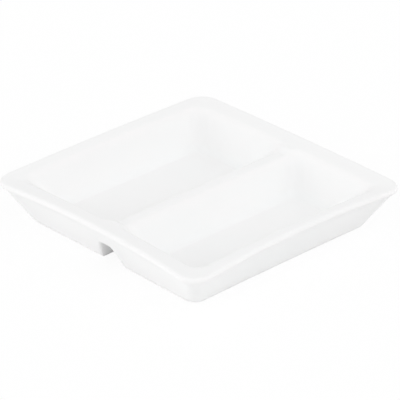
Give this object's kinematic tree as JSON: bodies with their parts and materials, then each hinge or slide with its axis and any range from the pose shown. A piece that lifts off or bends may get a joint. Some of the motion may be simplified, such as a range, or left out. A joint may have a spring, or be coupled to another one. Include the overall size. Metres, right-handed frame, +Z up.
{
  "type": "divided sauce dish",
  "caption": "Shallow square white porcelain sauce dish with side-by-side wells, a raised divider over an open groove, sloping walls and a wide, gently arched rim.",
  "frame": {"origin": "middle of the dish's plan, on the surface it stands on", "axes": "+Z up out of the wells, +Y along the divider, +X across it towards the narrower well"},
  "size_m": [0.104, 0.104, 0.0177],
  "materials": {
    "white_porcelain": "bare white porcelain, matt, seen only on the feet",
    "clear_glaze_on_white": "satin-matt white glaze"
  },
  "bodies": {
    "root": {"porcelain_body": "white_porcelain", "glaze_coat": "clear_glaze_on_white"}
  },
  "joints": []
}
